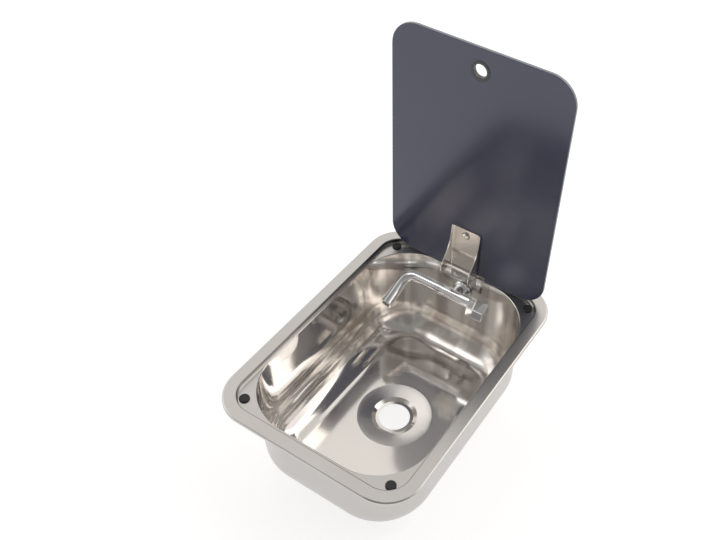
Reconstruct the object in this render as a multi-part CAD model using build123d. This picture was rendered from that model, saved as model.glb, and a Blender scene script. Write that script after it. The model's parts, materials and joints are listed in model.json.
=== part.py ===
from build123d import *
from math import cos, radians, sin
import os

# Drop-in kitchen sink for a caravan worktop: one deep-drawn steel bowl with a
# recessed rim, a glass lid on a friction hinge that closes flush into the
# recess, and a low tap on the rear wall that stays under the closed lid.
# Millimetres. +Z up, +Y towards the hinge, +X to the lever side. The origin is
# the centre of the bowl opening, on the plane of the worktop.
# The lid is stored open and upright, the spout drooping into the bowl.

# ---------------------------------------------------------------- sizes
SHEET = 0.8                # drawn stainless sheet

RIM_WIDTH = 320            # flange, side to side
RIM_LENGTH = 445           # flange, front to rear
RIM_BORDER = 20            # flat border around the recess
RIM_CORNER_R = 55
RIM_EDGE_R = 2.6           # rolled outer edge
LIP = 5                    # turned-down lip, stands on the worktop

RECESS_DEPTH = 8           # step down to the ledge that carries the lid
RECESS_EDGE_R = 1.2

LEDGE_SIDE = 3.3           # ledge between recess wall and bowl wall
LEDGE_END = 6.3
BOWL_CORNER_R = 84
BOWL_DEPTH = 168           # rim top to the outside of the floor
BOWL_BOTTOM_R = 52
MOUTH_R = 1.4              # rounded edge between ledge and bowl wall

DISH_R = 60                # floor falls to the drain inside this circle
DISH_DROP = 2.8
DRAIN_RING_R = 36.5        # pressed ring for the waste fitting
DRAIN_SEAT_R = 31
DRAIN_SEAT_DROP = 3.5
DRAIN_HOLE_R = 25

SEAL_WIDTH = 10            # foam strip stuck under the flange
SEAL_SETBACK = 0.5

GLASS = 5                  # tempered lid
GLASS_EDGE_R = 1
LID_GAP = 1.2              # round the lid, in the recess
LID_REAR_GAP = 1.6         # room for the edge to swing down at the hinge
LID_CORNER_R = 40
NOTCH_WIDTH = 75           # in the rear edge, for the hinge
NOTCH_DEPTH = 6.5
NOTCH_AIR = 0.5            # between the glass and the necks of the arm
FINGER_HOLE_R = 12.5
FINGER_HOLE_SETBACK = 33   # from the front edge of the lid
GROMMET_BORE_R = 10
GROMMET_FLANGE_R = 14.5
GROMMET_FLANGE = 0.9

BUMPER_R = 7.5             # rubber buttons on the ledge corners
BUMPER_STEM_R = 2.6
BUMPER_BARB_R = 3.6
BUMPER_SETBACK = 17.2      # from both recess walls
BUMPER_AIR = 0.3           # between button and closed glass
BARB_LENGTH = 3

PIVOT_SETBACK = 2.6        # hinge axis, in from the rear edge of the lid
PIVOT_RISE = 0.5           # and above the middle of the glass
PIN_R = 1.5
PIN_HEAD_R = 2.3
PIN_HEAD = 1.2
PIN_PLAY = 0.06
KNUCKLE_R = 2.5
ARM_SHEET = 1.5
ARM_BEND_R = 3             # inside the folds
ARM_WIDTH = 51
ARM_REACH = 92             # from the rear edge of the lid
ARM_TAIL = 9.5             # web ends this far from the rear edge
ARM_PAD = 0.5
CHEEK_TAIL = 6             # cheeks end this far from the rear edge
FRICTION_WASHER = 1
WASHER_AIR = 0.15
TIE_ROD_R = 2.25
TIE_ROD_SETBACK = 22       # from the rear edge of the lid
TIE_ROD_DEPTH = 20         # below the glass
# lower edge of the cheek: (distance from the lid's rear edge, depth below glass)
CHEEK_EDGE = [(ARM_REACH, 3.2), (76, 5), (58, 9.3), (46, 15), (36.5, 22.5), (28, 28.5), (20, 30.8),
              (9, 31.2)]

BASE_SHEET = 1.4           # fixed bracket between the cheeks
BASE_DROP = 25             # its lower edge, below the rim top
LEDGE_AIR = 0.3            # bracket strip over the ledge
NECK = 1.6
BASE_SCREW_SPREAD = 28
BASE_SCREW_DROP = 17
BASE_SCREW_R = 2
BASE_SCREW_HEAD_R = 3.9
BASE_SCREW_HEAD = 2.3
BASE_NUT_ACROSS = 7
BASE_NUT = 3.2
BASE_SCREW_TAIL = 1.5
BACKING_SHEET = 1.5
BACKING_MARGIN = 6

LID_SCREW_MARGIN = 12      # from the free end of the arm
LID_CAP_R = 12
LID_CAP = 2.6
LID_BARREL_R = 4.2
LID_HOLE_R = 6
CAP_WASHER = 0.6
LID_SCREW_R = 2.5
LID_SCREW_HEAD_R = 5.2
LID_SCREW_HEAD = 3.2
LID_SCREW_WASHER_R = 7
LID_SCREW_WASHER = 1
LID_SCREW_BITE = 4

TAP_DROP = 46              # tap axis, below the rim top
TAP_STANDOFF = 19          # tap axis, in front of the rear wall
TAP_BODY_R = 9.5
TAP_BODY_LEFT = 31         # body ends, from the middle of the sink
TAP_BODY_RIGHT = 26.2
TAP_BORE_R = 6.5
WATERWAY_R = 5
BOSS_R = 12.5
WALL_FLANGE_R = 17
WALL_FLANGE = 4
WALL_GASKET = 1
SHANK_R = 10.4             # half-inch pipe thread
SHANK_BORE_R = 6
SHANK_SOCKET = 5           # screwed into the boss
SHANK_HOLE_R = 11
SHANK_WASHER_R = 16
REAR_RUBBER = 2
REAR_STEEL = 1.5
SHANK_NUT = 7
SHANK_NUT_ACROSS = 27
INLET_RELIEF = 1.5         # groove where the thread for the hose begins
INLET_RELIEF_R = 9.5
INLET_THREAD = 12
INLET_CHAMFER = 0.8

TUBE_R = 9.8
TUBE_WALL = 1.5
TUBE_BEND_R = 18
SPOUT_ARM = 95             # middle of the sink to the leg of the spout
SPOUT_LEG = 67
SPOUT_DROOP = 17           # degrees below level, as stored
SPOUT_TAIL_R = 6.44        # turned end that runs in the body
SPOUT_TAIL = 16
SPOUT_NECK_R = 8           # between the bead and the full tube
SPOUT_NECK_BORE_R = 5
O_RING_R = 0.9
COLLAR_R = 10.6
COLLAR_BITE = 4            # screwed over the body
COLLAR_LIP = 3
BEAD_R = 9.2               # bead on the tube, held behind the collar lip
BEAD = 2
BEAD_AIR = 0.3
AERATOR_R = 10.2
AERATOR = 7
AERATOR_SEAT = 5
INSERT_WEB = 1

CARTRIDGE = 17
CARTRIDGE_PORT_R = 2.5
SPINDLE_R = 3.2
SPINDLE_PLAY = 0.08
SPINDLE_FOOT_R = 5
SPINDLE_FOOT = 3
LEVER_GAP = 0.6
LEVER_LENGTH = 31
# side of the lever, closed: (distance behind the tap axis, height above it)
LEVER_SIDE = [(4, 12.5), (-16.5, 5.5), (-19.5, -10.5), (6, -9)]
LEVER_EDGE_R = 1.6
LEVER_SOCKET = 24
LEVER_SCREW_R = 1.6
LEVER_SCREW_HEAD_R = 3.2
LEVER_SCREW_HEAD = 1.6
LEVER_SCREW_SINK = 14

# ---------------------------------------------------------------- places
TOP = LIP                                     # rim top
LEDGE = TOP - RECESS_DEPTH
RECESS_X = RIM_WIDTH / 2 - RIM_BORDER
RECESS_Y = RIM_LENGTH / 2 - RIM_BORDER
RECESS_R = RIM_CORNER_R - RIM_BORDER
FLOOR = TOP - BOWL_DEPTH                      # outside of the flat floor
DRAIN_FACE = FLOOR - DISH_DROP - DRAIN_SEAT_DROP
BOWL_X = RECESS_X - LEDGE_SIDE                # bowl, inner faces
BOWL_Y = RECESS_Y - LEDGE_END
WALL_IN = BOWL_Y                              # rear wall
WALL_OUT = BOWL_Y + SHEET

LID_REAR = RECESS_Y - LID_REAR_GAP
LID_FRONT = -(RECESS_Y - LID_GAP)
LID_X = RECESS_X - LID_GAP
GLASS_UNDER = TOP - GLASS
PIVOT_Y = LID_REAR - PIVOT_SETBACK
PIVOT_Z = TOP - GLASS / 2 + PIVOT_RISE
CHEEK_X = ARM_WIDTH / 2 - ARM_SHEET           # inner face of a cheek
ARM_FLAT = ARM_WIDTH - 2 * (ARM_BEND_R + ARM_SHEET)
LID_SCREW_SETBACK = ARM_REACH - LID_SCREW_MARGIN
KNUCKLE_X = CHEEK_X - FRICTION_WASHER - 2 * WASHER_AIR

TAP_Y = WALL_IN - TAP_STANDOFF
TAP_Z = TOP - TAP_DROP
BOSS_END = WALL_IN - WALL_GASKET - WALL_FLANGE
NUT_FACE = WALL_OUT + REAR_RUBBER + REAR_STEEL
NUT_END = NUT_FACE + SHANK_NUT
SHANK_END = NUT_END + INLET_RELIEF + INLET_THREAD
LEVER_X = TAP_BODY_RIGHT + LEVER_GAP
TUBE_BORE_R = TUBE_R - TUBE_WALL


# ---------------------------------------------------------------- helpers
def slab(half_x, half_y, corner, low, high):
    """Upright slab with rounded corners, centred on the Z axis."""
    outline = Pos(0, 0, low) * RectangleRounded(2 * half_x, 2 * half_y, corner)
    return extrude(outline, high - low)


def round_bar(start, end, radius):
    """Round bar from one point to another."""
    run = Vector(*end) - Vector(*start)
    return extrude(Plane(origin=start, z_dir=run) * Circle(radius), run.length)


def ring(start, end, outer, inner):
    """Tube or washer from one point to another."""
    return round_bar(start, end, outer) - round_bar(start, end, inner)


def hex_bar(start, end, across):
    """Hexagonal bar, measured across its flats."""
    run = Vector(*end) - Vector(*start)
    outline = Plane(origin=start, z_dir=run) * RegularPolygon(across / 2, 6, major_radius=False)
    return extrude(outline, run.length)


def cone(low, high, low_r, high_r):
    """Upright cone frustum on the Z axis."""
    return loft([Pos(0, 0, low) * Circle(low_r), Pos(0, 0, high) * Circle(high_r)])


def side_plate(points, x_low, x_high):
    """Flat plate across X from an outline of (y, z) points."""
    face = make_face(Polyline(*[(x_low, y, z) for y, z in points], close=True))
    return extrude(face, x_high - x_low, dir=(1, 0, 0))


def opened(shape):
    """Turn a piece of the closed lid up to the open position."""
    return Pos(0, PIVOT_Y, PIVOT_Z) * Rot(-90, 0, 0) * Pos(0, -PIVOT_Y, -PIVOT_Z) * shape


def drooped(shape):
    """Turn a piece of the level spout down to its stored angle."""
    return Pos(0, TAP_Y, TAP_Z) * Rot(SPOUT_DROOP, 0, 0) * Pos(0, -TAP_Y, -TAP_Z) * shape


# ---------------------------------------------------------------- bowl
def tub(inset):
    """Deep-drawn bowl form, inset by a sheet thickness for its inside."""
    form = slab(BOWL_X + SHEET - inset, BOWL_Y + SHEET - inset, BOWL_CORNER_R - inset,
                FLOOR + inset, LEDGE - SHEET + inset)
    form = fillet(form.faces().sort_by(Axis.Z)[0].edges(), BOWL_BOTTOM_R - inset)
    dish = cone(FLOOR - DISH_DROP + inset, FLOOR + inset, DRAIN_RING_R, DISH_R)
    cup = cone(DRAIN_FACE + inset, FLOOR - DISH_DROP + inset,
               DRAIN_SEAT_R - inset, DRAIN_RING_R)
    return form + dish + cup


def sink_bowl():
    half_x, half_y = RIM_WIDTH / 2, RIM_LENGTH / 2
    rim = slab(half_x, half_y, RIM_CORNER_R, 0, TOP)
    rim = fillet(rim.faces().sort_by(Axis.Z)[-1].edges(), RIM_EDGE_R)
    under = slab(half_x - SHEET, half_y - SHEET, RIM_CORNER_R - SHEET, 0, TOP - SHEET)
    under = fillet(under.faces().sort_by(Axis.Z)[-1].edges(), RIM_EDGE_R - SHEET)
    recess = slab(RECESS_X + SHEET, RECESS_Y + SHEET, RECESS_R + SHEET, LEDGE - SHEET, TOP - SHEET)
    body = rim - under + recess + tub(0)
    well = slab(RECESS_X, RECESS_Y, RECESS_R, LEDGE, TOP)
    body = body - well - tub(SHEET)
    ledge_edge = body.edges().filter_by_position(Axis.Z, LEDGE - 0.01, LEDGE + 0.01)
    inner = [e for e in ledge_edge if abs(e.center().X) < BOWL_X + 0.01
             and abs(e.center().Y) < BOWL_Y + 0.01]
    body = fillet(inner, MOUTH_R)
    top_edge = body.edges().filter_by_position(Axis.Z, TOP - 0.01, TOP + 0.01)
    inner = [e for e in top_edge if abs(e.center().X) < RECESS_X + 0.01
             and abs(e.center().Y) < RECESS_Y + 0.01]
    body = fillet(inner, RECESS_EDGE_R)
    body -= round_bar((0, 0, DRAIN_FACE - 1), (0, 0, FLOOR), DRAIN_HOLE_R)
    for x, y in BUMPERS:
        body -= round_bar((x, y, LEDGE - 2 * SHEET), (x, y, LEDGE + 1), BUMPER_STEM_R)
    for x in BASE_SCREWS:
        body -= round_bar((x, WALL_IN - 1, BASE_SCREW_Z), (x, WALL_OUT + 1, BASE_SCREW_Z),
                          BASE_SCREW_R + 0.2)
    body -= round_bar((0, WALL_IN - 1, TAP_Z), (0, WALL_OUT + 1, TAP_Z), SHANK_HOLE_R)
    return body


BUMPERS = [(sx * (RECESS_X - BUMPER_SETBACK), sy * (RECESS_Y - BUMPER_SETBACK))
           for sy in (-1, 1) for sx in (-1, 1)]
BASE_SCREWS = [-BASE_SCREW_SPREAD / 2, BASE_SCREW_SPREAD / 2]
BASE_SCREW_Z = TOP - BASE_SCREW_DROP


def rim_seal():
    """Foam strip under the flange, just inside the lip."""
    edge = SHEET + SEAL_SETBACK
    outer = slab(RIM_WIDTH / 2 - edge, RIM_LENGTH / 2 - edge, RIM_CORNER_R - edge, 0, TOP - SHEET)
    edge += SEAL_WIDTH
    inner = slab(RIM_WIDTH / 2 - edge, RIM_LENGTH / 2 - edge, RIM_CORNER_R - edge, 0, TOP - SHEET)
    seal = outer - inner
    return chamfer(seal.faces().sort_by(Axis.Z)[-1].outer_wire().edges(), RIM_EDGE_R - SHEET)


def bumper(x, y):
    """Rubber button pushed through the ledge, with a domed head and a barb."""
    head = GLASS_UNDER - BUMPER_AIR - LEDGE
    button = round_bar((x, y, LEDGE), (x, y, LEDGE + head), BUMPER_R)
    button = fillet(button.faces().sort_by(Axis.Z)[-1].edges(), head * 0.6)
    stem = round_bar((x, y, LEDGE - SHEET), (x, y, LEDGE), BUMPER_STEM_R)
    barb = Pos(x, y, 0) * cone(LEDGE - SHEET - BARB_LENGTH, LEDGE - SHEET,
                               BUMPER_STEM_R - 0.8, BUMPER_BARB_R)
    return button + stem + barb


# ---------------------------------------------------------------- lid, modelled closed
def along(setback):
    """Y of a point a distance in from the rear edge of the closed lid."""
    return LID_REAR - setback


def glass_lid():
    middle = (LID_REAR + LID_FRONT) / 2
    pane = Pos(0, middle, 0) * slab(LID_X, (LID_REAR - LID_FRONT) / 2, LID_CORNER_R,
                               GLASS_UNDER, TOP)
    notch = Pos(0, LID_REAR, TOP - GLASS / 2) * Box(NOTCH_WIDTH, 2 * NOTCH_DEPTH, 2 * GLASS)
    notch = fillet(notch.edges().filter_by(Axis.Z), NOTCH_DEPTH * 0.4)
    pane -= notch
    faces = pane.faces().filter_by(Axis.Z)
    pane = fillet(faces.edges(), GLASS_EDGE_R)
    finger_y = LID_FRONT + FINGER_HOLE_SETBACK
    pane -= round_bar((0, finger_y, GLASS_UNDER - 1), (0, finger_y, TOP + 1), FINGER_HOLE_R)
    screw_y = along(LID_SCREW_SETBACK)
    return pane - round_bar((0, screw_y, GLASS_UNDER - 1), (0, screw_y, TOP + 1), LID_HOLE_R)


def finger_hole_grommet():
    y = LID_FRONT + FINGER_HOLE_SETBACK
    sleeve = round_bar((0, y, GLASS_UNDER), (0, y, TOP), FINGER_HOLE_R)
    for low in (GLASS_UNDER - GROMMET_FLANGE, TOP):
        sleeve += round_bar((0, y, low), (0, y, low + GROMMET_FLANGE), GROMMET_FLANGE_R)
    sleeve -= round_bar((0, y, GLASS_UNDER - 2), (0, y, TOP + 2), GROMMET_BORE_R)
    ends = sleeve.faces().filter_by(Axis.Z)
    return fillet(ends.sort_by(Axis.Z)[-1].edges() + ends.sort_by(Axis.Z)[0].edges(),
                  GROMMET_FLANGE * 0.45)


def arm_side():
    """Side view of the folded channel: its back, and the curved edge of the cheeks."""
    reach = ARM_WIDTH / 2
    high = GLASS_UNDER - ARM_PAD
    edge = Spline(*[(-reach, along(s), GLASS_UNDER - d) for s, d in CHEEK_EDGE])
    front, tail = CHEEK_EDGE[0], CHEEK_EDGE[-1]
    outline = Polyline((-reach, along(tail[0]), GLASS_UNDER - tail[1]),
                       (-reach, along(CHEEK_TAIL), high),
                       (-reach, along(ARM_REACH), high),
                       (-reach, along(front[0]), GLASS_UNDER - front[1]))
    return extrude(make_face(edge.edges() + outline.edges()), ARM_WIDTH, dir=(1, 0, 0))


def channel(half_width, high, corner):
    """Block under the plane `high` with its two upper long edges rounded."""
    length = ARM_REACH + 2 * CHEEK_TAIL
    block = Pos(0, along(length / 2), high - length / 2) * Box(2 * half_width, 2 * length, length)
    return fillet(block.edges().filter_by(Axis.Y).group_by(Axis.Z)[-1], corner)


def cheek_neck(x_low):
    """Neck of a cheek through the notch, with an eye round the hinge pin."""
    low = GLASS_UNDER - ARM_PAD - ARM_SHEET - ARM_BEND_R
    neck_low = LEDGE + LEDGE_AIR
    throat = along(NOTCH_DEPTH) + NOTCH_AIR
    neck = side_plate([(along(2 * CHEEK_TAIL), low), (along(2 * CHEEK_TAIL), GLASS_UNDER - ARM_PAD),
                       (throat, GLASS_UNDER - ARM_PAD), (throat, PIVOT_Z),
                       (PIVOT_Y, PIVOT_Z), (PIVOT_Y, PIVOT_Z - KNUCKLE_R),
                       (along(CHEEK_TAIL), neck_low), (along(CHEEK_TAIL), low)],
                      x_low, x_low + ARM_SHEET)
    eye = round_bar((x_low, PIVOT_Y, PIVOT_Z), (x_low + ARM_SHEET, PIVOT_Y, PIVOT_Z), KNUCKLE_R)
    return neck + eye


def hinge_arm():
    """Folded steel channel on the underside of the glass."""
    high = GLASS_UNDER - ARM_PAD
    arm = arm_side() & channel(ARM_WIDTH / 2, high, ARM_BEND_R + ARM_SHEET)
    arm -= channel(CHEEK_X, high - ARM_SHEET, ARM_BEND_R)
    arm -= Pos(0, along(0), high) * Box(2 * CHEEK_X, 2 * ARM_TAIL, 4 * (ARM_SHEET + ARM_BEND_R))
    arm += cheek_neck(-ARM_WIDTH / 2)
    arm += cheek_neck(ARM_WIDTH / 2 - ARM_SHEET)
    y, z = along(TIE_ROD_SETBACK), GLASS_UNDER - TIE_ROD_DEPTH
    arm -= round_bar((-ARM_WIDTH, y, z), (ARM_WIDTH, y, z), TIE_ROD_R)
    arm -= round_bar((-ARM_WIDTH, PIVOT_Y, PIVOT_Z), (ARM_WIDTH, PIVOT_Y, PIVOT_Z), PIN_R)
    y = along(LID_SCREW_SETBACK)
    return arm - round_bar((0, y, high - 5), (0, y, high + 1), LID_SCREW_R)


def hinge_arm_pad():
    """Thin pad that keeps the steel off the glass."""
    length = ARM_REACH - ARM_TAIL
    pad = Pos(0, along(ARM_TAIL + length / 2), GLASS_UNDER - ARM_PAD / 2) * Box(
        ARM_FLAT, length - 2, ARM_PAD)
    y = along(LID_SCREW_SETBACK)
    return pad - round_bar((0, y, GLASS_UNDER - 2), (0, y, GLASS_UNDER + 1), LID_HOLE_R)


def hinge_pin():
    reach = ARM_WIDTH / 2
    pin = round_bar((-reach, PIVOT_Y, PIVOT_Z), (reach, PIVOT_Y, PIVOT_Z), PIN_R)
    for side in (-1, 1):
        start = (side * reach, PIVOT_Y, PIVOT_Z)
        end = (side * (reach + PIN_HEAD), PIVOT_Y, PIVOT_Z)
        pin += round_bar(start, end, PIN_HEAD_R)
    return pin


def hinge_tie_rod():
    """Rod riveted between the cheeks."""
    reach = ARM_WIDTH / 2 + 0.6
    y, z = along(TIE_ROD_SETBACK), GLASS_UNDER - TIE_ROD_DEPTH
    return round_bar((-reach, y, z), (reach, y, z), TIE_ROD_R)


def friction_washers():
    rings = []
    for side in (-1, 1):
        start = side * (CHEEK_X - WASHER_AIR)
        end = side * (CHEEK_X - WASHER_AIR - FRICTION_WASHER)
        rings.append(ring((start, PIVOT_Y, PIVOT_Z), (end, PIVOT_Y, PIVOT_Z),
                          KNUCKLE_R - 0.1, PIN_R))
    return rings


def lid_cap():
    """Round cap on top of the glass, with a threaded barrel through it."""
    y = along(LID_SCREW_SETBACK)
    low = TOP + CAP_WASHER
    disc = round_bar((0, y, low), (0, y, low + LID_CAP), LID_CAP_R)
    disc = fillet(disc.faces().sort_by(Axis.Z)[-1].edges(), LID_CAP * 0.6)
    barrel_end = GLASS_UNDER - ARM_PAD
    disc += round_bar((0, y, barrel_end), (0, y, low), LID_BARREL_R)
    return disc - round_bar((0, y, barrel_end), (0, y, barrel_end + LID_SCREW_BITE), LID_SCREW_R)


def lid_cap_washer():
    y = along(LID_SCREW_SETBACK)
    return ring((0, y, TOP), (0, y, TOP + CAP_WASHER), LID_CAP_R - 1, LID_BARREL_R)


def lid_glass_bush():
    """Nylon sleeve between the barrel and the hole in the glass."""
    y = along(LID_SCREW_SETBACK)
    return ring((0, y, GLASS_UNDER), (0, y, TOP), LID_HOLE_R, LID_BARREL_R)


def lid_screw_washer():
    y = along(LID_SCREW_SETBACK)
    face = GLASS_UNDER - ARM_PAD - ARM_SHEET
    return ring((0, y, face - LID_SCREW_WASHER), (0, y, face), LID_SCREW_WASHER_R, LID_SCREW_R)


def lid_screw():
    """Pan head screw through arm and washer into the cap."""
    y = along(LID_SCREW_SETBACK)
    face = GLASS_UNDER - ARM_PAD - ARM_SHEET - LID_SCREW_WASHER
    head = round_bar((0, y, face - LID_SCREW_HEAD), (0, y, face), LID_SCREW_HEAD_R)
    head = fillet(head.faces().sort_by(Axis.Z)[0].edges(), LID_SCREW_HEAD * 0.5)
    head += round_bar((0, y, face), (0, y, GLASS_UNDER - ARM_PAD + LID_SCREW_BITE), LID_SCREW_R)
    slot = Pos(0, y, face - LID_SCREW_HEAD) * (Box(6, 1.1, 3) + Box(1.1, 6, 3))
    return head - slot


# ---------------------------------------------------------------- fixed hinge bracket
def hinge_base():
    """Bracket on the rear wall, rolled round the pin between the cheeks."""
    plate_face = WALL_IN - BASE_SHEET
    strip_low = LEDGE + LEDGE_AIR
    plate = side_plate([(plate_face, TOP - BASE_DROP), (WALL_IN, TOP - BASE_DROP),
                        (WALL_IN, strip_low),
                        (PIVOT_Y + NECK / 2, strip_low), (PIVOT_Y + NECK / 2, PIVOT_Z),
                        (PIVOT_Y - NECK / 2, PIVOT_Z), (PIVOT_Y - NECK / 2, strip_low + 1),
                        (plate_face, strip_low + 1)],
                       -KNUCKLE_X, KNUCKLE_X)
    plate += round_bar((-KNUCKLE_X, PIVOT_Y, PIVOT_Z), (KNUCKLE_X, PIVOT_Y, PIVOT_Z), KNUCKLE_R)
    plate -= round_bar((-ARM_WIDTH, PIVOT_Y, PIVOT_Z), (ARM_WIDTH, PIVOT_Y, PIVOT_Z),
                       PIN_R + PIN_PLAY)
    for x in BASE_SCREWS:
        plate -= round_bar((x, plate_face - 1, BASE_SCREW_Z), (x, WALL_IN + 1, BASE_SCREW_Z),
                           BASE_SCREW_R + 0.2)
    return plate


def hinge_backing_plate():
    """Stiffener behind the thin wall."""
    half = BASE_SCREW_SPREAD / 2 + BACKING_MARGIN
    plate = Pos(0, WALL_OUT + BACKING_SHEET / 2, BASE_SCREW_Z) * Box(
        2 * half, BACKING_SHEET, 2 * BACKING_MARGIN)
    plate = fillet(plate.edges().filter_by(Axis.Y), 2)
    for x in BASE_SCREWS:
        plate -= round_bar((x, WALL_OUT - 1, BASE_SCREW_Z), (x, WALL_OUT + 5, BASE_SCREW_Z),
                           BASE_SCREW_R + 0.2)
    return plate


def hinge_base_screws():
    face = WALL_IN - BASE_SHEET
    tail = WALL_OUT + BACKING_SHEET + BASE_NUT + BASE_SCREW_TAIL
    screws = []
    for x in BASE_SCREWS:
        head = round_bar((x, face - BASE_SCREW_HEAD, BASE_SCREW_Z), (x, face, BASE_SCREW_Z),
                         BASE_SCREW_HEAD_R)
        head = fillet(head.faces().sort_by(Axis.Y)[0].edges(), BASE_SCREW_HEAD * 0.5)
        head += round_bar((x, face, BASE_SCREW_Z), (x, tail, BASE_SCREW_Z), BASE_SCREW_R)
        slot = Pos(x, face - BASE_SCREW_HEAD, BASE_SCREW_Z)
        screws.append(head - slot * (Box(4, 2, 0.9) + Box(0.9, 2, 4)))
    return screws


def hinge_base_nuts():
    face = WALL_OUT + BACKING_SHEET
    nuts = []
    for x in BASE_SCREWS:
        nut = hex_bar((x, face, BASE_SCREW_Z), (x, face + BASE_NUT, BASE_SCREW_Z), BASE_NUT_ACROSS)
        nuts.append(nut - round_bar((x, face - 1, BASE_SCREW_Z), (x, face + 9, BASE_SCREW_Z),
                                    BASE_SCREW_R))
    return nuts


# ---------------------------------------------------------------- tap, on its own X axis
def tap_point(x):
    """Point on the axis of the tap body."""
    return (x, TAP_Y, TAP_Z)


def wall_point(y):
    """Point on the axis of the threaded shank."""
    return (0, y, TAP_Z)


def tap_body():
    body = round_bar(tap_point(-TAP_BODY_LEFT), tap_point(TAP_BODY_RIGHT), TAP_BODY_R)
    body = fillet(body.faces().sort_by(Axis.X)[-1].edges(), 0.8)
    body += round_bar(wall_point(TAP_Y), wall_point(BOSS_END), BOSS_R)
    body -= round_bar(tap_point(-TAP_BODY_LEFT - 1), tap_point(-TAP_BODY_LEFT + SPOUT_TAIL + 2),
                      TAP_BORE_R)
    body -= round_bar(tap_point(TAP_BODY_RIGHT - CARTRIDGE), tap_point(TAP_BODY_RIGHT + 1),
                      TAP_BORE_R)
    body -= round_bar(tap_point(-TAP_BODY_LEFT), tap_point(TAP_BODY_RIGHT - 1), CARTRIDGE_PORT_R)
    body -= round_bar(wall_point(TAP_Y), wall_point(BOSS_END + 1), WATERWAY_R)
    return body - round_bar(wall_point(BOSS_END - SHANK_SOCKET), wall_point(BOSS_END + 1), SHANK_R)


def tap_wall_flange():
    """Bell-shaped rose between the boss and the wall."""
    disc = round_bar(wall_point(BOSS_END), wall_point(BOSS_END + WALL_FLANGE), WALL_FLANGE_R)
    disc = fillet(disc.faces().sort_by(Axis.Y)[0].edges(), WALL_FLANGE * 0.7)
    return disc - round_bar(wall_point(BOSS_END - 1), wall_point(WALL_IN + 1), SHANK_R)


def tap_wall_gasket():
    return ring(wall_point(WALL_IN - WALL_GASKET), wall_point(WALL_IN), WALL_FLANGE_R - 0.6,
                SHANK_R)


def tap_shank():
    """Threaded tube from the boss through the wall; its free end is the inlet."""
    shank = ring(wall_point(BOSS_END - SHANK_SOCKET), wall_point(SHANK_END), SHANK_R,
                 SHANK_BORE_R)
    shank = chamfer(shank.faces().sort_by(Axis.Y)[-1].outer_wire().edges(), INLET_CHAMFER)
    return shank - ring(wall_point(NUT_END), wall_point(NUT_END + INLET_RELIEF), SHANK_R + 1,
                        INLET_RELIEF_R)


def shank_rubber_washer():
    return ring(wall_point(WALL_OUT), wall_point(WALL_OUT + REAR_RUBBER), SHANK_WASHER_R, SHANK_R)


def shank_steel_washer():
    return ring(wall_point(WALL_OUT + REAR_RUBBER), wall_point(NUT_FACE), SHANK_WASHER_R - 0.5,
                SHANK_R)


def shank_nut():
    nut = hex_bar(wall_point(NUT_FACE), wall_point(NUT_FACE + SHANK_NUT), SHANK_NUT_ACROSS)
    return nut - round_bar(wall_point(NUT_FACE - 1), wall_point(NUT_FACE + SHANK_NUT + 1), SHANK_R)


def valve_cartridge():
    """Quarter-turn headwork pressed into the lever end of the body."""
    inner = TAP_BODY_RIGHT - CARTRIDGE
    core = round_bar(tap_point(inner), tap_point(TAP_BODY_RIGHT), TAP_BORE_R)
    core -= round_bar(tap_point(inner + SPINDLE_FOOT), tap_point(TAP_BODY_RIGHT + 1),
                      SPINDLE_R + SPINDLE_PLAY)
    pocket = inner + 2 * SPINDLE_FOOT
    core -= round_bar(tap_point(pocket - SPINDLE_PLAY), tap_point(pocket + SPINDLE_FOOT + SPINDLE_PLAY),
                      SPINDLE_FOOT_R + SPINDLE_PLAY)
    core -= round_bar(tap_point(inner - 1), tap_point(inner + SPINDLE_FOOT + 1), CARTRIDGE_PORT_R)
    return core


def valve_spindle():
    """Stem from the cartridge into the lever, with a collar inside the cartridge."""
    inner = TAP_BODY_RIGHT - CARTRIDGE
    pocket = inner + 2 * SPINDLE_FOOT
    stem = round_bar(tap_point(inner + SPINDLE_FOOT + 1), tap_point(LEVER_X + LEVER_SOCKET), SPINDLE_R)
    stem += round_bar(tap_point(pocket), tap_point(pocket + SPINDLE_FOOT), SPINDLE_FOOT_R)
    screw_end = LEVER_X + LEVER_LENGTH - LEVER_SCREW_HEAD - LEVER_SCREW_SINK
    return stem - round_bar(tap_point(screw_end), tap_point(LEVER_X + LEVER_LENGTH), LEVER_SCREW_R)


def lever_handle():
    """Block lever on the end of the spindle."""
    side = [(TAP_Y + y, TAP_Z + z) for y, z in LEVER_SIDE]
    block = side_plate(side, LEVER_X, LEVER_X + LEVER_LENGTH)
    block = fillet(block.edges(), LEVER_EDGE_R)
    block -= round_bar(tap_point(LEVER_X - 1), tap_point(LEVER_X + LEVER_SOCKET), SPINDLE_R)
    block -= round_bar(tap_point(LEVER_X), tap_point(LEVER_X + LEVER_LENGTH + 1), LEVER_SCREW_R)
    head = LEVER_X + LEVER_LENGTH - LEVER_SCREW_HEAD
    return block - round_bar(tap_point(head), tap_point(head + 5), LEVER_SCREW_HEAD_R)


def lever_screw():
    """Cap screw sunk into the end of the lever."""
    head = LEVER_X + LEVER_LENGTH - LEVER_SCREW_HEAD
    screw = round_bar(tap_point(head), tap_point(head + LEVER_SCREW_HEAD), LEVER_SCREW_HEAD_R)
    screw -= hex_bar(tap_point(head + LEVER_SCREW_HEAD / 2), tap_point(head + 5), 2.5)
    return screw + round_bar(tap_point(head - LEVER_SCREW_SINK), tap_point(head), LEVER_SCREW_R)


def spout_path(start_x):
    """Arm along -X, a quarter bend, then the leg towards the front."""
    corner = Vector(-SPOUT_ARM, TAP_Y, TAP_Z)
    bend = TUBE_BEND_R
    arm = Line(tap_point(start_x), corner + Vector(bend, 0, 0))
    turn = RadiusArc(corner + Vector(bend, 0, 0), corner - Vector(0, bend, 0), -bend)
    leg = Line(corner - Vector(0, bend, 0), corner - Vector(0, SPOUT_LEG - AERATOR, 0))
    return Wire(arm.edges() + turn.edges() + leg.edges())


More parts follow.
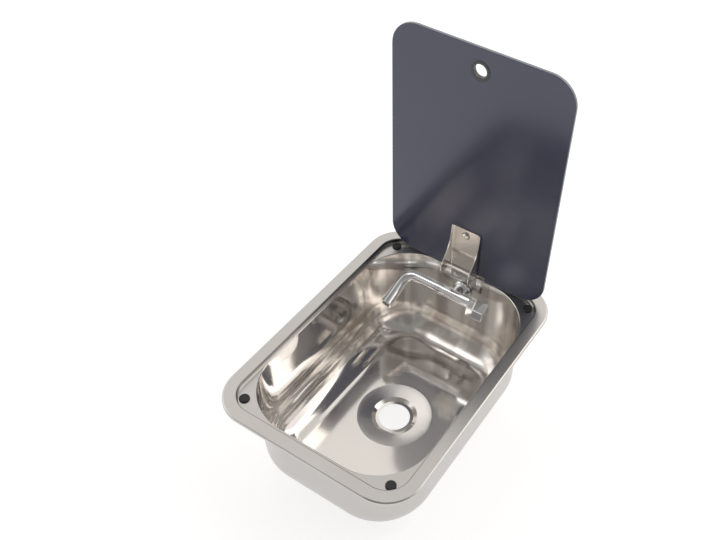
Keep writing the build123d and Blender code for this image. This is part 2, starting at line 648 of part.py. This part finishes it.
def swept(start_x, radius):
    """Round section along the spout, from a place on the tap axis."""
    return sweep(Plane(origin=tap_point(start_x), z_dir=(-1, 0, 0)) * Circle(radius),
                 spout_path(start_x))


def spout_tube():
    """Bent tube with a turned tail that runs in the body and a bead that holds it there."""
    tube = swept(NECK_END, TUBE_R) - swept(NECK_END - TUBE_WALL, TUBE_BORE_R)
    tube += round_bar(tap_point(SHOULDER), tap_point(SHOULDER - BEAD), BEAD_R)
    tube += round_bar(tap_point(TAIL_END), tap_point(SHOULDER), SPOUT_TAIL_R)
    tube += round_bar(tap_point(SHOULDER - BEAD), tap_point(NECK_END), SPOUT_NECK_R)
    tube -= round_bar(tap_point(SHOULDER), tap_point(NECK_END - TUBE_WALL), SPOUT_NECK_BORE_R)
    for x in O_RINGS:
        tube -= ring(tap_point(x - O_RING_R), tap_point(x + O_RING_R), SPOUT_TAIL_R + 1,
                     GROOVE_R)
    return drooped(tube - round_bar(tap_point(TAIL_END), tap_point(SHOULDER - BEAD),
                                    CARTRIDGE_PORT_R))


SHOULDER = -TAP_BODY_LEFT - BEAD_AIR
COLLAR_FACE = SHOULDER - BEAD - BEAD_AIR
NECK_END = COLLAR_FACE - COLLAR_LIP - BEAD_AIR
TAIL_END = -TAP_BODY_LEFT + SPOUT_TAIL
GROOVE_R = SPOUT_TAIL_R - 1.8 * O_RING_R
O_RINGS = [-TAP_BODY_LEFT + SPOUT_TAIL - 3, -TAP_BODY_LEFT + SPOUT_TAIL - 8]


def spout_o_rings():
    rings = []
    for x in O_RINGS:
        rings.append(ring(tap_point(x - O_RING_R * 0.8), tap_point(x + O_RING_R * 0.8),
                          SPOUT_TAIL_R, GROOVE_R))
    return [drooped(o_ring) for o_ring in rings]


def spout_collar():
    """Union nut screwed over the body; its lip holds the bead of the spout."""
    start = -TAP_BODY_LEFT + COLLAR_BITE
    collar = ring(tap_point(start), tap_point(COLLAR_FACE - COLLAR_LIP), COLLAR_R,
                  SPOUT_NECK_R + BEAD_AIR)
    collar -= round_bar(tap_point(start), tap_point(COLLAR_FACE), TAP_BODY_R)
    return chamfer(collar.faces().sort_by(Axis.X)[0].outer_wire().edges(), 0.6)


def spout_aerator():
    """Outlet ring with a seat inside the tube."""
    leg_end = Vector(-SPOUT_ARM, TAP_Y - SPOUT_LEG + AERATOR, TAP_Z)
    outlet = leg_end - Vector(0, AERATOR, 0)
    nose = round_bar(leg_end, outlet, AERATOR_R)
    nose = fillet(nose.faces().sort_by(Axis.Y)[0].edges(), 0.8)
    seat = leg_end + Vector(0, AERATOR_SEAT, 0)
    nose += round_bar(seat, leg_end, TUBE_BORE_R)
    nose -= round_bar(seat, outlet, TUBE_BORE_R - INSERT_WEB)
    return drooped(nose)


def aerator_insert():
    """Plastic straightener, a cross of fins inside the outlet ring."""
    start = Vector(-SPOUT_ARM, TAP_Y - SPOUT_LEG + AERATOR, TAP_Z)
    end = start - Vector(0, AERATOR - 1.5, 0)
    radius = TUBE_BORE_R - INSERT_WEB
    shell = ring(start, end, radius, radius - INSERT_WEB)
    middle = (start + end) * 0.5
    length = (start - end).length
    fins = Pos(*middle) * (Box(2 * radius - 1, length, INSERT_WEB)
                                      + Box(INSERT_WEB, length, 2 * radius - 1))
    return drooped(shell + fins)


# ---------------------------------------------------------------- write the nodes
def write(name, shape):
    """Write one node; a list is a group of separate solids."""
    solids = []
    for piece in shape if isinstance(shape, list) else [shape]:
        solids += piece.solids()
    export_step(Compound(children=solids) if len(solids) > 1 else solids[0], f"parts/{name}.step")


os.makedirs("parts", exist_ok=True)

write("sink_bowl", sink_bowl())
write("rim_seal", rim_seal())
CORNERS = ("front_left", "front_right", "rear_left", "rear_right")
for corner, place in zip(CORNERS, BUMPERS):
    write(f"lid_bumper_{corner}", bumper(*place))

write("hinge_base", hinge_base())
write("hinge_backing_plate", hinge_backing_plate())
write("hinge_base_screws", hinge_base_screws())
write("hinge_base_nuts", hinge_base_nuts())

for piece in (glass_lid, finger_hole_grommet, hinge_arm, hinge_arm_pad, hinge_pin,
              hinge_tie_rod, lid_cap, lid_cap_washer, lid_glass_bush, lid_screw_washer,
              lid_screw):
    write(piece.__name__, opened(piece()))
write("friction_washers", [opened(washer) for washer in friction_washers()])

for piece in (tap_body, tap_wall_flange, tap_wall_gasket, tap_shank, shank_rubber_washer,
              shank_steel_washer, shank_nut, valve_cartridge, valve_spindle, lever_handle,
              lever_screw, spout_tube, spout_o_rings, spout_collar, spout_aerator,
              aerator_insert):
    write(piece.__name__, piece())
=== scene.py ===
# %% [markdown]
# # A caravan sink with a glass lid, dressed in Blender
# The real object is a drop-in sink: one pressed steel bowl, a dark glass lid that stands
# open on a friction hinge, and a low chrome tap on the rear wall. Every shape comes
# measured from CAD and stays as it is, so this lesson is about the camera, the finishes
# and the light. Everything is in metres, +Z up, +Y to the hinge.

# %% Load the measured frame
import json
import math

import bpy
from mathutils import Matrix, Vector


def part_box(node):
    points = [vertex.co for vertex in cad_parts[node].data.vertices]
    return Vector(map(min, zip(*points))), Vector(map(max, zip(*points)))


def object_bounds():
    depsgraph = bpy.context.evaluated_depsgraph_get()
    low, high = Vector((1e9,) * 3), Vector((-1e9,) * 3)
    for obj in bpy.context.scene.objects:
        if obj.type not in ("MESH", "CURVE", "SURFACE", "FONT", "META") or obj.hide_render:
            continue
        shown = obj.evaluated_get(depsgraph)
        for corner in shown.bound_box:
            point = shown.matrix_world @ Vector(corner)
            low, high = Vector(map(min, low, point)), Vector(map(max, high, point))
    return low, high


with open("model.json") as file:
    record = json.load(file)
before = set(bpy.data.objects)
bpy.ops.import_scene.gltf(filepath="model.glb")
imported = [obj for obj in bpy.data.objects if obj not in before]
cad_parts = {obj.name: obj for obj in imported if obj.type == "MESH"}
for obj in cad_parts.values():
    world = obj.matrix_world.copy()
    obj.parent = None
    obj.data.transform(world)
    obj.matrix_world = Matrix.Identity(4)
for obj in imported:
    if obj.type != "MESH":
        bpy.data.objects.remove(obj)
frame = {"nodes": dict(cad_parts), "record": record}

nodes = frame["nodes"]
cad_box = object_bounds()
print("nodes:", len(nodes), "box:", [[round(v, 4) for v in corner] for corner in cad_box])

# %% [markdown]
# ## The camera
# The sink was photographed from its front right, high up, with a slightly tilted camera and
# the frame cut off-centre. A perspective camera has a position, an aim, a roll about its
# own axis and a lens; the off-centre cut is the lens shift. Aim and roll are built here as
# three perpendicular vectors, because a matrix says the same thing without any constraint.

# %% Camera
PHOTO_WIDTH, PHOTO_HEIGHT = 716, 540
AIM = Vector((0.0041, 0.1678, 0.005))
BACK = Vector((0.3332, -0.6116, 0.7175)).normalized()
DISTANCE = 1.3329
ROLL = 0.0760
FOCAL_PIXELS = 843.3
OPTICAL_CENTRE = (457.0, 281.0)
SENSOR_WIDTH = 36
CLIP_NEAR, CLIP_FAR = 0.05, 50


def make_camera():
    """Right = Z x back, up = back x right, both turned by the roll about back."""
    level = Vector((0, 0, 1)).cross(BACK).normalized()
    upright = BACK.cross(level)
    right = level * math.cos(ROLL) + upright * math.sin(ROLL)
    up = upright * math.cos(ROLL) - level * math.sin(ROLL)
    data = bpy.data.cameras.new("photo_camera")
    data.sensor_width = SENSOR_WIDTH
    data.lens = FOCAL_PIXELS / PHOTO_WIDTH * data.sensor_width
    data.shift_x = (PHOTO_WIDTH / 2 - OPTICAL_CENTRE[0]) / PHOTO_WIDTH
    data.shift_y = (OPTICAL_CENTRE[1] - PHOTO_HEIGHT / 2) / PHOTO_WIDTH
    data.clip_start, data.clip_end = CLIP_NEAR, CLIP_FAR
    camera = bpy.data.objects.new("photo_camera", data)
    bpy.context.scene.collection.objects.link(camera)
    axes = Matrix((right, up, BACK)).transposed().to_4x4()
    camera.matrix_world = Matrix.Translation(AIM + BACK * DISTANCE) @ axes
    bpy.context.scene.camera = camera
    return camera


camera = make_camera()
print("camera at", [round(v, 3) for v in camera.matrix_world.translation],
      "lens", round(camera.data.lens, 2), "mm")

# %% [markdown]
# ## Writing shader maths as Python
# A material is a graph of small nodes. Wiring Math nodes by hand hides the formula, so a
# small class wraps one output socket and overloads the operators: `1 - mask` adds a Math
# node and returns its output. Every other node comes from `Shader.node`, which takes the
# node's type, its settings and what its sockets get.

# %% Sockets with operators
MIX_FACTOR, MIX_FIRST, MIX_SECOND, MIX_RESULT = 0, 6, 7, 2   # a colour Mix node's sockets


class Wire:
    """One output socket of a node tree, with arithmetic that adds Math nodes."""

    def __init__(self, tree, socket):
        self.tree, self.socket = tree, socket

    def math(self, operation, *others, swap=False, clamp=False):
        node = self.tree.nodes.new("ShaderNodeMath")
        node.operation, node.use_clamp = operation, clamp
        values = [self, *others]
        if swap:
            values.reverse()
        for slot, value in zip(node.inputs, values):
            plug(self.tree, slot, value)
        return Wire(self.tree, node.outputs[0])

    def __add__(self, other): return self.math("ADD", other)
    def __radd__(self, other): return self.math("ADD", other)
    def __sub__(self, other): return self.math("SUBTRACT", other)
    def __rsub__(self, other): return self.math("SUBTRACT", other, swap=True)
    def __mul__(self, other): return self.math("MULTIPLY", other)
    def __rmul__(self, other): return self.math("MULTIPLY", other)
    def __pow__(self, other): return self.math("POWER", other)
    def __gt__(self, other): return self.math("GREATER_THAN", other)
    def __lt__(self, other): return self.math("LESS_THAN", other)
    def __abs__(self): return self.math("ABSOLUTE")

    def clamp(self): return self.math("ADD", 0.0, clamp=True)
    def sin(self): return self.math("SINE")
    def floor_at(self, least): return self.math("MAXIMUM", least)

    def ramp(self, low, high):
        """0 below low, 1 above high, smooth between."""
        node = self.tree.nodes.new("ShaderNodeMapRange")
        node.interpolation_type = "SMOOTHSTEP"
        plug(self.tree, node.inputs["Value"], self)
        node.inputs["From Min"].default_value = low
        node.inputs["From Max"].default_value = high
        return Wire(self.tree, node.outputs["Result"])


def plug(tree, slot, value):
    """Link a wire into a socket, or set the socket to a plain value."""
    if isinstance(value, Wire):
        tree.links.new(value.socket, slot)
    elif hasattr(slot.default_value, "__len__") and len(slot.default_value) == 4:
        slot.default_value = (*tuple(value)[:3], 1.0)
    else:
        slot.default_value = value


class Shader:
    """A material's node tree with one Principled surface."""

    def __init__(self, name):
        self.material = bpy.data.materials.new(name)
        self.material.use_nodes = True
        self.tree = self.material.node_tree
        self.surface = self.tree.nodes["Principled BSDF"]

    def node(self, kind, output=0, settings=None, **sockets):
        """Any node: its settings first, then its sockets by name with _ for a space."""
        made = self.tree.nodes.new(kind)
        for key, value in (settings or {}).items():
            setattr(made, key, value)
        for key, value in sockets.items():
            slot = next(s for s in made.inputs
                        if s.name.replace(" ", "_") == key and s.enabled)
            plug(self.tree, slot, value)
        return Wire(self.tree, made.outputs[output])

    def point(self):
        return self.node("ShaderNodeTexCoord", "Object")

    def axes(self, vector=None):
        """The x, y and z of a vector as three wires."""
        made = self.tree.nodes.new("ShaderNodeSeparateXYZ")
        plug(self.tree, made.inputs[0], vector or self.point())
        return [Wire(self.tree, out) for out in made.outputs]

    def vector(self, x=0.0, y=0.0, z=0.0):
        return self.node("ShaderNodeCombineXYZ", X=x, Y=y, Z=z)

    def noise(self, scale, detail=3.0, roughness=0.5, vector=None):
        return self.node("ShaderNodeTexNoise", "Fac", Vector=vector or self.point(),
                         Scale=scale, Detail=detail, Roughness=roughness)

    def mix(self, factor, first, second):
        """Colour between first and second."""
        made = self.tree.nodes.new("ShaderNodeMix")
        made.data_type = "RGBA"
        plug(self.tree, made.inputs[MIX_FACTOR], factor)
        plug(self.tree, made.inputs[MIX_FIRST], first)
        plug(self.tree, made.inputs[MIX_SECOND], second)
        return Wire(self.tree, made.outputs[MIX_RESULT])

    def set(self, **sockets):
        """Give sockets of the Principled surface a value or a wire."""
        for key, value in sockets.items():
            plug(self.tree, self.surface.inputs[key.replace("_", " ")], value)
        return self

    def bump(self, height, strength, distance):
        """A relief of the given height wire, in metres of distance."""
        normal = self.node("ShaderNodeBump", Height=height, Strength=strength,
                           Distance=distance)
        return self.set(Normal=normal)


print("shader helpers ready")

# %% [markdown]
# ## Pressed stainless steel
# The bowl, ledge and flange are one sheet, but not one finish. The press polishes the
# inside of the bowl to a soft mirror; the flange and the outside keep the mill's satin.
# Inside and outside are told apart by the surface normal: on the inside it points towards
# the middle of the bowl. The rear wall is duller, with upright bands from the drawing. The
# floor has a paler haze round the drain and in front of it. A fine dark line of painted
# shade runs along the rounded edge of the recess, standing in for the dark that this edge
# reflects. A slight waviness from polishing bends the reflections.

# %% Bowl steel
RECESS_HALF_X, RECESS_HALF_Y, RECESS_CORNER = 0.1400, 0.2025, 0.0350
BOWL_MIDDLE_DEPTH = 0.06
POLISH_STARTS = (0.0030, 0.0036)           # depths just under the ledge
WALL_TO_FLOOR = (0.10, 0.155)              # depths
REAR_WALL_TURN = (0.12, 0.55)              # how far the normal points forward
HAZE_STARTS = (0.050, 0.066)               # distances from the drain's middle
HAZE_ENDS = (0.070, 0.105)                 # the same, behind the drain only
# a line of painted shade along the recess's rounded edge: where it runs and how it fades
SHADE_LINE_MIDDLE = 0.0004                     # distance outside the recess's outline
SHADE_LINE_FADE = (0.0004, 0.0013)
SHADE_LINE_ABOVE = 0.001
MILL_SATIN = (0.53, 0.512, 0.496), (0.62, 0.602, 0.583)
POLISHED = (0.88, 0.845, 0.81), (0.93, 0.90, 0.87)
DRAWN = (0.68, 0.63, 0.60), (0.99, 0.97, 0.92)
# the colour of that painted shade line
PAINTED_SHADE_TONE = (0.16, 0.155, 0.16)


def from_outline(x, y, half_x, half_y, corner):
    """Distance to a rounded rectangle: the length of what sticks out past the corner
    centres, less the corner radius. Negative inside."""
    out_x = abs(x) - (half_x - corner)
    out_y = abs(y) - (half_y - corner)
    reach_x, reach_y = out_x.floor_at(0.0), out_y.floor_at(0.0)
    beyond = (reach_x * reach_x + reach_y * reach_y) ** 0.5
    within = out_x.floor_at(out_y)
    return beyond + (within < 0) * within - corner


def floor_haze(x, y):
    """1 where the floor is paler: from HAZE_STARTS outwards and all over the front, less
    what lies past HAZE_ENDS behind the drain."""
    from_drain = (x * x + y * y) ** 0.5
    front = (0.6 * x - y - 0.01).ramp(-0.02, 0.02)
    kept = 1 - from_drain.ramp(*HAZE_ENDS) * (1 - front)
    return from_drain.ramp(*HAZE_STARTS).floor_at(front) * kept


def recess_painted_shade_line(x, y, z):
    """1 on a thin line of painted shade that runs round the edge of the recess."""
    edge = from_outline(x, y, RECESS_HALF_X, RECESS_HALF_Y, RECESS_CORNER)
    line = 1 - abs(edge - SHADE_LINE_MIDDLE).ramp(*SHADE_LINE_FADE)
    return line * (z > SHADE_LINE_ABOVE)


def pressed_steel():
    """Satin outside and soft mirror inside, chosen by the mask called polished."""
    s = Shader("stainless_sheet")
    x, y, z = s.axes()
    nx, ny, nz = s.axes(s.node("ShaderNodeTexCoord", "Normal"))
    depth = 0 - z
    away_from_middle = nx * x + ny * y + nz * (z + BOWL_MIDDLE_DEPTH)
    outside = (away_from_middle * 1000).ramp(-2, 2)
    polished = (1 - outside) * depth.ramp(*POLISH_STARTS)
    rear_wall = (0 - ny).ramp(*REAR_WALL_TURN)
    floor = depth.ramp(*WALL_TO_FLOOR)

    streaks = s.noise(1.0, 4.0, 0.6, s.vector(x * 900, y * 900, z * 25))
    satin = s.noise(1.0, 5.0, 0.65, s.vector(x * 1400, y * 60, z * 400))
    clouds = s.noise(9.0, 3.0)
    bands = s.noise(1.0, 2.0, 0.45, s.vector(x * 34, y * 34, z * 0.8)).ramp(0.38, 0.62)

    rough_satin = 0.22 + 0.12 * satin + 0.05 * clouds
    rough_bright = 0.03 + 0.02 * streaks + 0.02 * clouds + 0.15 * rear_wall + 0.04 * floor
    haze = 0.04 + (0.06 + 0.30 * floor_haze(x, y)) * floor + 0.04 * clouds
    s.set(Roughness=rough_satin + (rough_bright - rough_satin) * polished,
          Metallic=1 - haze * polished)

    bright = s.mix(rear_wall, s.mix(clouds, *POLISHED), s.mix(bands, *DRAWN))
    sheet = s.mix(polished, s.mix(clouds, *MILL_SATIN), bright)
    # painted shade: a dark line mixed into the colour along the recess's rounded edge
    s.set(Base_Color=s.mix(recess_painted_shade_line(x, y, z) * 0.75, sheet, PAINTED_SHADE_TONE))
    wave = s.noise(11.0, 1.0, 0.3)
    s.bump(wave * polished + satin * 0.02 * (1 - polished), 0.02, 0.0008)
    return s.material


finishes = {"stainless_sheet": pressed_steel()}
print("steel:", len(finishes["stainless_sheet"].node_tree.nodes), "shader nodes")

# %% [markdown]
# ## Other metals
# Chrome is a near-perfect mirror with a cool tint. Where the tap's pieces meet, a dark ring
# of painted shade runs round it, for the shadow in the gap. The hinge arm is cut from sheet
# and polished along its length, so its grain is stretched noise; the bracket under it is
# darker and duller. Brass and zinc-plated steel sit behind the wall: zinc has pale
# blotches, brass fine turned rings.

# %% Chrome, sheet, turned and plated metal
TAP_JOINTS_X = (-0.0368, -0.0312, 0.0265)  # the collar's end, then the body's two ends
# how fast the rings of painted shade at the joints fade
TAP_GAP_SHADE_FADE = (0.0001, 0.0006)


def chrome():
    s = Shader("tap_chrome")
    film = s.noise(140.0, 3.0)
    s.set(Metallic=1.0, Roughness=0.02 + 0.04 * film)
    x = s.axes()[0]
    # painted shade: dark rings at the joints between the tap's pieces
    rings = [1 - abs(x - place).ramp(*TAP_GAP_SHADE_FADE) for place in TAP_JOINTS_X]
    gap_shade = sum(rings[1:], rings[0]).clamp()
    plated = s.mix(film, (0.88, 0.89, 0.92), (0.94, 0.95, 0.97))
    # the painted shade rings darken the chrome's colour
    s.set(Base_Color=s.mix(gap_shade, plated, (0.05, 0.05, 0.06)))
    s.bump(s.noise(60.0, 2.0), 0.05, 0.0002)
    return s.material


def hinge_sheet():
    s = Shader("hinge_steel")
    x, y, z = s.axes()
    grain = s.noise(1.0, 4.0, 0.6, s.vector(x * 1800, y * 1800, z * 40))
    clouds = s.noise(30.0, 3.0)
    s.set(Metallic=1.0, Roughness=0.13 + 0.08 * grain + 0.05 * clouds)
    s.set(Base_Color=s.mix(grain, (0.82, 0.79, 0.75), (0.92, 0.89, 0.85)))
    s.bump(grain, 0.12, 0.0001)
    return s.material


def bracket_sheet():
    s = Shader("bracket_steel")
    grain = s.noise(400.0, 3.0)
    s.set(Metallic=1.0, Roughness=0.20 + 0.10 * grain)
    s.set(Base_Color=s.mix(grain, (0.38, 0.37, 0.36), (0.48, 0.46, 0.45)))
    s.bump(grain, 0.1, 0.0001)
    return s.material


def bright_turned():
    s = Shader("fastener_steel")
    film = s.noise(220.0, 3.0)
    s.set(Metallic=1.0, Roughness=0.08 + 0.10 * film)
    s.set(Base_Color=s.mix(film, (0.80, 0.76, 0.70), (0.90, 0.87, 0.82)))
    s.bump(film, 0.1, 0.0001)
    return s.material


def zinc_plate():
    s = Shader("zinc_steel")
    blotch = s.noise(260.0, 4.0, 0.6)
    s.set(Metallic=1.0, Roughness=0.3 + 0.2 * blotch)
    s.set(Base_Color=s.mix(blotch, (0.52, 0.54, 0.55), (0.68, 0.69, 0.66)))
    s.bump(blotch, 0.15, 0.0001)
    return s.material


def turned_brass():
    s = Shader("brass")
    y = s.axes()[1]
    rings = (y * 9000).sin() * 0.5 + 0.5
    film = s.noise(90.0, 4.0)
    s.set(Metallic=1.0, Roughness=0.2 + 0.14 * film + 0.04 * rings)
    s.set(Base_Color=s.mix(film, (0.62, 0.44, 0.19), (0.78, 0.60, 0.30)))
    s.bump(rings, 0.06, 0.0001)
    return s.material


finishes.update(tap_chrome=chrome(), hinge_steel=hinge_sheet(), zinc_steel=zinc_plate(),
                fastener_steel=bright_turned(), brass=turned_brass())
bracket = bracket_sheet()
print("finishes so far:", sorted(finishes), "and", bracket.name)

# %% [markdown]
# ## Dark glass, rubber, foam and nylon
# The lid is toughened glass with a dark tint, so hardly anything shows through: a dark
# dielectric with a hard gloss does it better than real transparency, and its edge is
# ground, which makes it paler and duller. Rubber is nearly black with a moulded grain; the
# ring in the lid's hole is a smoother, greyer one. Foam has open pores, nylon is a milky
# white.

# %% Glass and soft materials
EDGE_FADE = (0.0000, 0.0009)               # depths into the glass from either face
GLASS_TINT = (0.050, 0.054, 0.098), (0.068, 0.073, 0.122)
GROUND_EDGE = (0.25, 0.27, 0.31)


def smoked_glass():
    """The faces are dark; whatever lies between them is the ground edge."""
    s = Shader("smoked_glass")
    y = s.axes()[1]
    low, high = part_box("glass_lid")
    edge = (y - low[1]).ramp(*EDGE_FADE) * (high[1] - y).ramp(*EDGE_FADE)
    haze = s.noise(7.0, 3.0)
    s.set(Base_Color=s.mix(edge, s.mix(haze, *GLASS_TINT), GROUND_EDGE))
    s.set(Roughness=0.15 + 0.20 * edge + 0.05 * haze, Metallic=0.0)
    s.set(IOR=1.68, Specular_Tint=(0.90, 0.94, 1.0))
    return s.material


def black_rubber():
    s = Shader("black_rubber")
    grain = s.noise(1500.0, 2.0)
    dust = s.noise(60.0, 4.0)
    s.set(Base_Color=s.mix(dust, (0.010, 0.010, 0.011), (0.028, 0.028, 0.029)),
          Roughness=0.48 + 0.2 * dust)
    s.bump(grain, 0.2, 0.0001)
    return s.material


def grommet_rubber():
    s = Shader("grommet_rubber")
    dust = s.noise(80.0, 4.0)
    s.set(Base_Color=s.mix(dust, (0.055, 0.056, 0.060), (0.095, 0.096, 0.10)),
          Roughness=0.30 + 0.1 * dust)
    s.bump(s.noise(900.0, 2.0), 0.1, 0.0001)
    return s.material


def grey_foam():
    s = Shader("grey_foam")
    pores = s.node("ShaderNodeTexVoronoi", "Distance", Vector=s.point(), Scale=900.0)
    # painted shade: the pores are darker at their middles, where the bump sinks into pits
    s.set(Base_Color=s.mix(pores, (0.05, 0.05, 0.052), (0.16, 0.16, 0.16)), Roughness=0.9)
    s.bump(pores, 0.5, 0.0004)
    return s.material


def white_nylon():
    s = Shader("white_nylon")
    cloud = s.noise(120.0, 3.0)
    s.set(Base_Color=s.mix(cloud, (0.74, 0.73, 0.69), (0.84, 0.83, 0.80)),
          Roughness=0.38 + 0.1 * cloud)
    s.bump(cloud, 0.1, 0.0001)
    return s.material


finishes.update(smoked_glass=smoked_glass(), black_rubber=black_rubber(),
                grey_foam=grey_foam(), white_nylon=white_nylon())
ring_rubber = grommet_rubber()
print("finishes:", len(finishes), "by slot and", [bracket.name, ring_rubber.name])

# %% [markdown]
# ## Give every measured piece its finish
# The frame's record says which material slot each piece belongs to, so the finishes are
# put on by slot name and no piece can be forgotten. Three pieces then get a closer match.

# %% Assign finishes
for entry in frame["record"]["subparts"]:
    piece = nodes[entry["node"]]
    piece.data.materials.clear()
    piece.data.materials.append(finishes[entry["material_slot"]])
for name in ("hinge_base", "lid_screw_washer"):
    nodes[name].data.materials[0] = bracket
nodes["finger_hole_grommet"].data.materials[0] = ring_rubber

# %% [markdown]
# ## Studio floor
# A plain white floor lies under the sink. A camera ray that meets it should see white
# paper, while the floor still takes a soft shadow, so its shader adds a steady glow, seen
# by camera, mirror and glass rays only, to a grey diffuse paper.

# %% Floor
FLOOR_Z = cad_box[0][2] - 0.0005
FLOOR_REACH = 6.0
PAPER_GLOW, PAPER_GREY = 0.72, 0.45


def paper_floor():
    """A flat grid of two by two points, far larger than the view."""
    reach = FLOOR_REACH
    data = bpy.data.meshes.new("floor")
    corners = [(-reach, -reach), (reach, -reach), (reach, reach), (-reach, reach)]
    data.from_pydata([(x, y, FLOOR_Z) for x, y in corners], [], [(0, 1, 2, 3)])
    floor = bpy.data.objects.new("floor", data)
    bpy.context.scene.collection.objects.link(floor)
    s = Shader("paper")
    s.tree.nodes.remove(s.surface)
    rays = s.tree.nodes.new("ShaderNodeLightPath")
    seen = Wire(s.tree, rays.outputs["Is Camera Ray"])
    mirrored = Wire(s.tree, rays.outputs["Is Glossy Ray"])
    through = Wire(s.tree, rays.outputs["Is Transmission Ray"])
    glow = s.node("ShaderNodeEmission", Color=(1, 1, 1),
                  Strength=(seen + mirrored + through).clamp() * PAPER_GLOW)
    paper = s.node("ShaderNodeBsdfDiffuse", Color=(PAPER_GREY,) * 3)
    both = s.tree.nodes.new("ShaderNodeAddShader")
    link = s.tree.links.new
    link(glow.socket, both.inputs[0])
    link(paper.socket, both.inputs[1])
    link(both.outputs[0], s.tree.nodes["Material Output"].inputs["Surface"])
    data.materials.append(s.material)


paper_floor()
print("floor at z =", round(FLOOR_Z, 4))

# %% [markdown]
# ## Lamps
# Three large soft lamps stand behind the sink, to its left and above it. They are area
# lamps, because a small lamp would leave hard dots in polished steel.

# %% Lamps
def softbox(name, place, size, power, tint=(1.0, 0.98, 0.96)):
    """A square area lamp at a place, turned to face the origin."""
    data = bpy.data.lights.new(name, "AREA")
    data.shape, data.size, data.energy, data.color = "SQUARE", size, power, tint
    lamp = bpy.data.objects.new(name, data)
    bpy.context.scene.collection.objects.link(lamp)
    lamp.location = place
    lamp.rotation_euler = (-Vector(place)).to_track_quat("-Z", "Y").to_euler()


softbox("rear_softbox", (0.95, 1.75, 2.05), size=1.9, power=12.5, tint=(1.0, 0.94, 0.86))
softbox("left_softbox", (-2.2, -0.6, 1.5), size=1.8, power=9)
softbox("high_softbox", (-0.75, -0.35, 2.3), size=0.7, power=2.6)

# %% [markdown]
# ## World
# Polished steel shows the room round it, so the room needs light and dark parts of its
# own. Here it is a formula on the direction that a ray leaves in: wide panels behind and
# to the left, dimmer overhead and on the camera's side, and a bright horizon all round.
# The same brightness is given to every kind of ray.

# %% World
REAR_PANEL, RIGHT_PANEL, LEFT_PANEL = (0.02, 0.26), (0.0, 0.25), (0.22, 0.6)
OVERHEAD, HORIZON = (0.86, 0.97), (0.03, 0.28)
DIM_SIDE = 0.25
WARM_WHITE = (1.0, 0.975, 0.945, 1)


def studio_world():
    """Brightness = dim side + panels, raised to 1 at the horizon."""
    world = bpy.data.worlds.new("studio")
    bpy.context.scene.world = world
    world.use_nodes = True
    tree = world.node_tree
    direction = tree.nodes.new("ShaderNodeTexCoord").outputs["Generated"]
    parts = tree.nodes.new("ShaderNodeSeparateXYZ")
    tree.links.new(direction, parts.inputs[0])
    x, y, z = [Wire(tree, out) for out in parts.outputs]
    rear, right, left = y.ramp(*REAR_PANEL), x.ramp(*RIGHT_PANEL), (0 - x).ramp(*LEFT_PANEL)
    rear_light = rear * (0.75 + 0.25 * right) * (1 - 0.55 * z.ramp(*OVERHEAD))
    panels = rear_light + 0.5 * left * (1 - rear)
    level = DIM_SIDE + panels + (1 - z.ramp(*HORIZON)) * (1 - DIM_SIDE - panels)
    background = tree.nodes["Background"]
    background.inputs["Color"].default_value = WARM_WHITE
    tree.links.new(level.socket, background.inputs["Strength"])
    return world


world = studio_world()
bpy.context.scene.view_settings.view_transform = "Standard"
print("world:", world.name, "with", len(world.node_tree.nodes), "nodes")

# %% [markdown]
# ## End
# The script ends here, with a last printed line.

# %% End
print("end of script")
